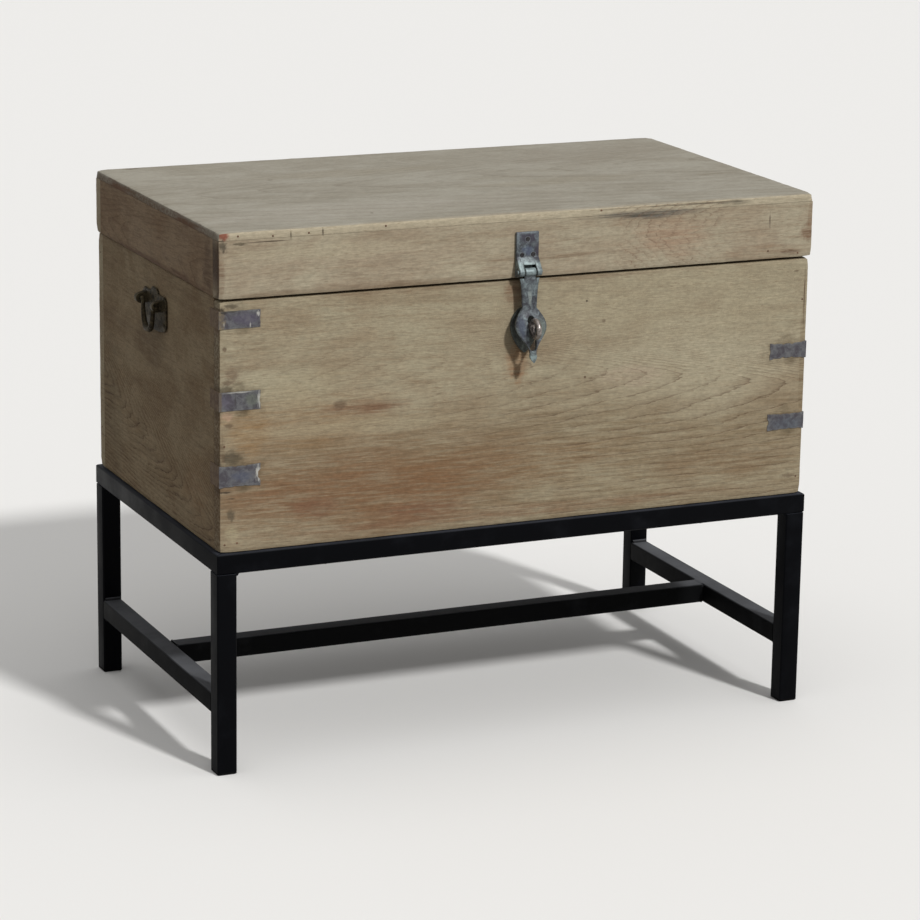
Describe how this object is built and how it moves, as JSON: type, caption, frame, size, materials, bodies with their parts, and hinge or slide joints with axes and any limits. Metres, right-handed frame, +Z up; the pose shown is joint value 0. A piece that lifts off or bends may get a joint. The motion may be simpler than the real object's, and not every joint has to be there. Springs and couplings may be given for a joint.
{
  "type": "trunk on stand",
  "caption": "Old wooden trunk with a hinged lid, hasp and staple, swing handles and metal corner straps, screwed to a black square-tube stand.",
  "frame": {"origin": "middle of the whole object's bounding box, on the floor", "axes": "+X to the right along the front, -Y out of the front towards the viewer, +Z up"},
  "size_m": [0.8198, 0.4996, 0.665],
  "materials": {
    "weathered_wood": "old teak, bleached and worn, unwaxed, with open cracks and stains",
    "zinc_sheet": "dull grey sheet, scratched",
    "aged_brass": "cast brass with grey-green patina",
    "dark_bronze": "dark worn bronze",
    "old_iron": "dark iron with a little rust",
    "black_steel": "satin black paint",
    "black_plastic": "matte black"
  },
  "bodies": {
    "trunk": {"back_board": "weathered_wood", "bottom_board": "weathered_wood", "corner_strap_left_lower": "zinc_sheet", "corner_strap_left_middle": "zinc_sheet", "corner_strap_left_upper": "zinc_sheet", "corner_strap_right_lower": "zinc_sheet", "corner_strap_right_middle": "zinc_sheet", "foot_plug_back_left": "black_plastic", "foot_plug_back_right": "black_plastic", "foot_plug_front_left": "black_plastic", "foot_plug_front_right": "black_plastic", "front_board": "weathered_wood", "handle_left_plate": "dark_bronze", "handle_right_plate": "dark_bronze", "hinge_left_body_leaf": "aged_brass", "hinge_left_pin": "old_iron", "hinge_right_body_leaf": "aged_brass", "hinge_right_pin": "old_iron", "left_end_board": "weathered_wood", "right_end_board": "weathered_wood", "stand_back_rail": "black_steel", "stand_front_rail": "black_steel", "stand_left_rail": "black_steel", "stand_left_stretcher": "black_steel", "stand_leg_back_left": "black_steel", "stand_leg_back_right": "black_steel", "stand_leg_front_left": "black_steel", "stand_leg_front_right": "black_steel", "stand_long_stretcher": "black_steel", "stand_right_rail": "black_steel", "stand_right_stretcher": "black_steel", "stand_screw_back_left": "old_iron", "stand_screw_back_right": "old_iron", "stand_screw_front_left": "old_iron", "stand_screw_front_right": "old_iron", "staple_eye": "dark_bronze", "staple_plate": "aged_brass", "staple_rove": "old_iron", "staple_screw_lower": "old_iron", "staple_screw_upper": "old_iron"},
    "lid": {"lid_top_board": "weathered_wood", "lid_front_rail": "weathered_wood", "lid_back_rail": "weathered_wood", "lid_left_rail": "weathered_wood", "lid_right_rail": "weathered_wood", "hinge_left_lid_leaf": "aged_brass", "hinge_right_lid_leaf": "aged_brass", "hasp_plate": "aged_brass", "hasp_pin": "aged_brass", "hasp_screw_left": "old_iron", "hasp_screw_right": "old_iron", "hasp_screw_top": "old_iron"},
    "hasp": {"hasp_arm": "aged_brass"},
    "left_handle": {"handle_left_bail": "dark_bronze"},
    "right_handle": {"handle_right_bail": "dark_bronze"}
  },
  "joints": [
    {"name": "lid_hinge", "type": "hinge", "parent": "trunk", "child": "lid", "pos_m": [0, 0.24575, 0.58485], "axis": [-1, 0, 0], "range_deg": [0, 105]},
    {"name": "hasp_hinge", "type": "hinge", "parent": "lid", "child": "hasp", "pos_m": [0, -0.21675, 0.5942], "axis": [-1, 0, 0], "range_deg": [0, 150]},
    {"name": "left_handle_hinge", "type": "hinge", "parent": "trunk", "child": "left_handle", "pos_m": [-0.4037, 0.02075, 0.5387], "axis": [0, 1, 0], "range_deg": [0, 170]},
    {"name": "right_handle_hinge", "type": "hinge", "parent": "trunk", "child": "right_handle", "pos_m": [0.4037, 0.02075, 0.5387], "axis": [0, -1, 0], "range_deg": [0, 170]}
  ]
}
